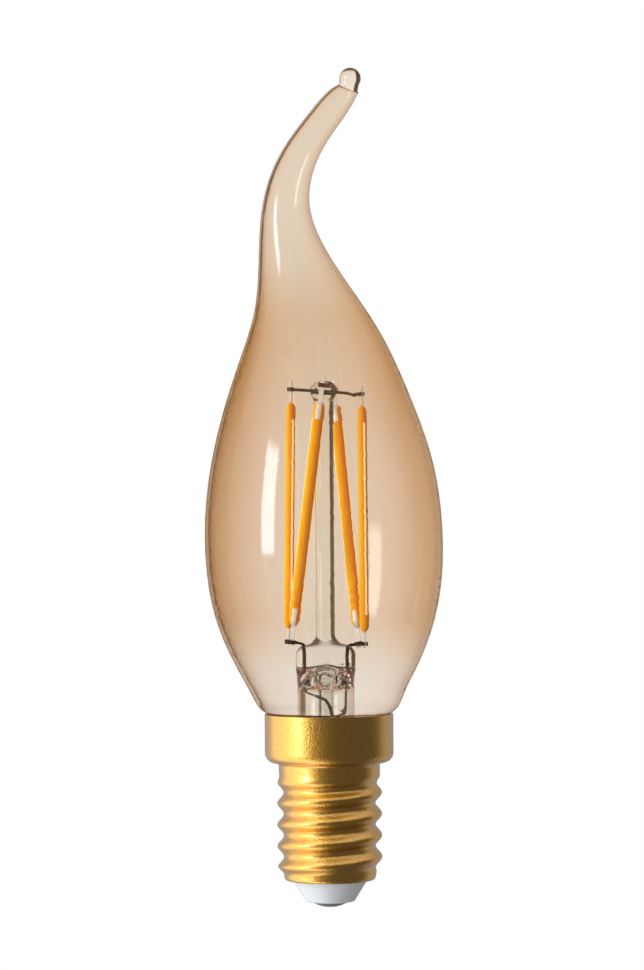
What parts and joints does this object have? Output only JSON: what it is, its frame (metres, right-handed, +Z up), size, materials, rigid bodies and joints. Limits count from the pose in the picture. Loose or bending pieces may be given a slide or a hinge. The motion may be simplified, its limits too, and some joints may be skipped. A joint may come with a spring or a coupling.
{
  "type": "led filament bulb",
  "caption": "Bent-tip candle bulb of amber glass with upright led filaments on a glass stem, on a small brass screw cap with a white insulator and centre contact.",
  "frame": {"origin": "foot of the centre contact, on the axis of the screw cap", "axes": "+Z up the cap's axis to the glass tip, +X the side the tip curls back to, -Y the front"},
  "size_m": [0.0314, 0.0314, 0.1107],
  "materials": {
    "amber_glass": "blown glass with a transparent amber tint, smooth and glossy",
    "clear_glass": "clear drawn and pressed lead-free glass, glossy",
    "cap_brass": "satin gold brass sheet with a fine blasted grain",
    "insulator_plastic": "white moulded plastic, semi-gloss",
    "contact_metal": "nickel-plated contact, slightly worn",
    "capping_cement": "baked capping cement, matt",
    "nickel_wire": "drawn nickel wire, dull from heat",
    "seal_wire": "copper-clad sealing wire, red from oxide in the glass",
    "copper_wire": "tinned copper wire",
    "phosphor_silicone": "orange-yellow phosphor in silicone, satin",
    "filament_strip": "clear sapphire strip",
    "led_die": "small bonded dies",
    "filament_tab": "bright plated steel tab",
    "circuit_board": "green glass-epoxy board",
    "moulded_package": "black moulded epoxy",
    "capacitor_can": "drawn aluminium can",
    "resistor_body": "lacquered ceramic body"
  },
  "bodies": {
    "root": {"back_filament_dies": "led_die", "back_filament_lower_tab": "filament_tab", "back_filament_phosphor": "phosphor_silicone", "back_filament_strip": "filament_strip", "back_filament_upper_tab": "filament_tab", "bridge_rectifier": "moulded_package", "cap_insulator": "insulator_plastic", "cap_shell": "cap_brass", "capping_cement": "capping_cement", "centre_contact": "contact_metal", "cross_support_wire": "nickel_wire", "driver_board": "circuit_board", "driver_chip": "moulded_package", "exhaust_tube": "clear_glass", "front_filament_dies": "led_die", "front_filament_lower_tab": "filament_tab", "front_filament_phosphor": "phosphor_silicone", "front_filament_strip": "filament_strip", "front_filament_upper_tab": "filament_tab", "fusible_resistor": "resistor_body", "glass_envelope": "amber_glass", "glass_stem": "clear_glass", "left_filament_dies": "led_die", "left_filament_lower_tab": "filament_tab", "left_filament_phosphor": "phosphor_silicone", "left_filament_strip": "filament_strip", "left_filament_upper_tab": "filament_tab", "left_lead": "nickel_wire", "left_outer_lead": "copper_wire", "left_seal_wire": "seal_wire", "live_lead": "copper_wire", "neutral_lead": "copper_wire", "right_filament_dies": "led_die", "right_filament_lower_tab": "filament_tab", "right_filament_phosphor": "phosphor_silicone", "right_filament_strip": "filament_strip", "right_filament_upper_tab": "filament_tab", "right_lead": "nickel_wire", "right_outer_lead": "copper_wire", "right_seal_wire": "seal_wire", "side_support_wire": "nickel_wire", "smoothing_capacitor": "capacitor_can"}
  },
  "joints": []
}
